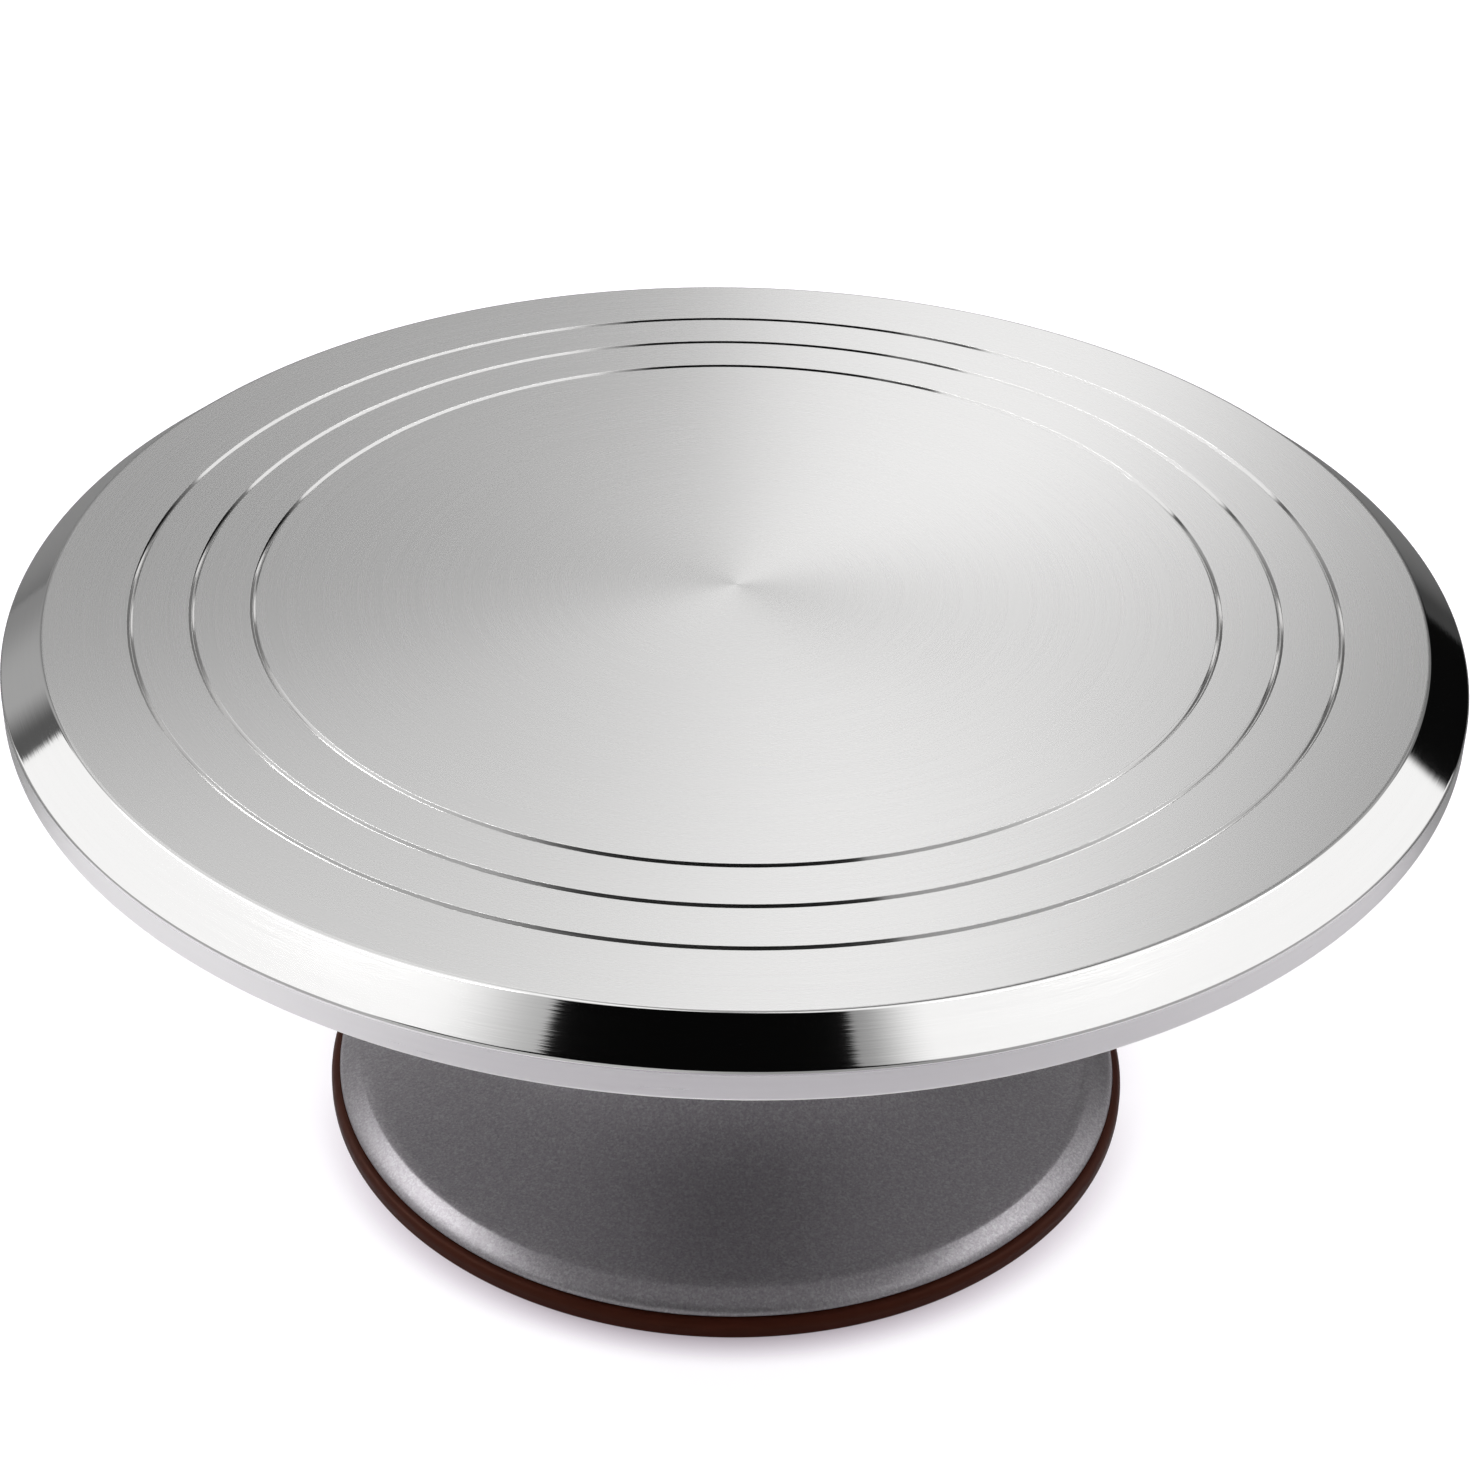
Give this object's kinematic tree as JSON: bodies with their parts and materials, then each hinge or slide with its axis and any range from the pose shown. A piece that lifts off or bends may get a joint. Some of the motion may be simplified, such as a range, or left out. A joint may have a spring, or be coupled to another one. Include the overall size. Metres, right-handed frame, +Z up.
{
  "type": "cake turntable",
  "caption": "Revolving cake stand: a round bevelled aluminium plate with cake-size guide rings, turning on ball bearings in a heavy flared cast foot with a non-slip ring.",
  "frame": {"origin": "centre of the foot's underside, on the surface that the turntable stands on", "axes": "+Z up along the spindle; the plate and the foot are round about Z, and -Y is the side shown in the picture"},
  "size_m": [0.305, 0.305, 0.129],
  "materials": {
    "plate_aluminium": "spun, with a fine concentric brushed finish and a bright bevel",
    "foot_paint": "dark grey metallic paint with a fine sparkling grain, satin",
    "foot_silicone": "reddish brown silicone, satin",
    "flange_steel": "turned steel, fine concentric marks",
    "spindle_steel": "ground steel",
    "fastener_steel": "zinc-plated steel",
    "spring_steel": "blackened spring steel",
    "bearing_steel": "polished bearing steel",
    "cap_steel": "pressed zinc-plated steel",
    "cage_nylon": "natural nylon",
    "insert_nylon": "blue nylon"
  },
  "bodies": {
    "foot": {"base_casting": "foot_paint", "grip_ring": "foot_silicone", "dust_cap": "cap_steel", "circlip": "spring_steel", "upper_bearing_outer_ring": "bearing_steel", "upper_bearing_bottom_shield": "bearing_steel", "upper_bearing_top_shield": "bearing_steel", "lower_bearing_outer_ring": "bearing_steel", "lower_bearing_bottom_shield": "bearing_steel", "lower_bearing_top_shield": "bearing_steel"},
    "rotating_plate": {"turntable_plate": "plate_aluminium", "hub_flange": "flange_steel", "hub_screw_1": "fastener_steel", "hub_screw_2": "fastener_steel", "hub_screw_3": "fastener_steel", "hub_screw_4": "fastener_steel", "spring_washer_1": "fastener_steel", "spring_washer_2": "fastener_steel", "spring_washer_3": "fastener_steel", "spring_washer_4": "fastener_steel", "spindle": "spindle_steel", "spindle_washer": "fastener_steel", "lock_nut": "fastener_steel", "nut_insert": "insert_nylon", "bearing_spacer": "spindle_steel", "upper_bearing_inner_ring": "bearing_steel", "lower_bearing_inner_ring": "bearing_steel"},
    "upper_ball_train": {"upper_bearing_cage": "cage_nylon", "upper_bearing_ball_1": "bearing_steel", "upper_bearing_ball_2": "bearing_steel", "upper_bearing_ball_3": "bearing_steel", "upper_bearing_ball_4": "bearing_steel", "upper_bearing_ball_5": "bearing_steel", "upper_bearing_ball_6": "bearing_steel", "upper_bearing_ball_7": "bearing_steel", "upper_bearing_ball_8": "bearing_steel"},
    "lower_ball_train": {"lower_bearing_cage": "cage_nylon", "lower_bearing_ball_1": "bearing_steel", "lower_bearing_ball_2": "bearing_steel", "lower_bearing_ball_3": "bearing_steel", "lower_bearing_ball_4": "bearing_steel", "lower_bearing_ball_5": "bearing_steel", "lower_bearing_ball_6": "bearing_steel", "lower_bearing_ball_7": "bearing_steel", "lower_bearing_ball_8": "bearing_steel"}
  },
  "joints": [
    {"name": "plate_spin", "type": "hinge", "parent": "foot", "child": "rotating_plate", "pos_m": [0, 0, 0.0995], "axis": [0, 0, 1], "continuous": true},
    {"name": "upper_cage_spin", "type": "hinge", "parent": "foot", "child": "upper_ball_train", "pos_m": [0, 0, 0.0995], "axis": [0, 0, 1], "continuous": true},
    {"name": "lower_cage_spin", "type": "hinge", "parent": "foot", "child": "lower_ball_train", "pos_m": [0, 0, 0.0445], "axis": [0, 0, 1], "continuous": true}
  ],
  "couplings": [
    {"joint": "upper_cage_spin", "follows": "plate_spin", "ratio": 0.38096},
    {"joint": "lower_cage_spin", "follows": "plate_spin", "ratio": 0.38096}
  ]
}
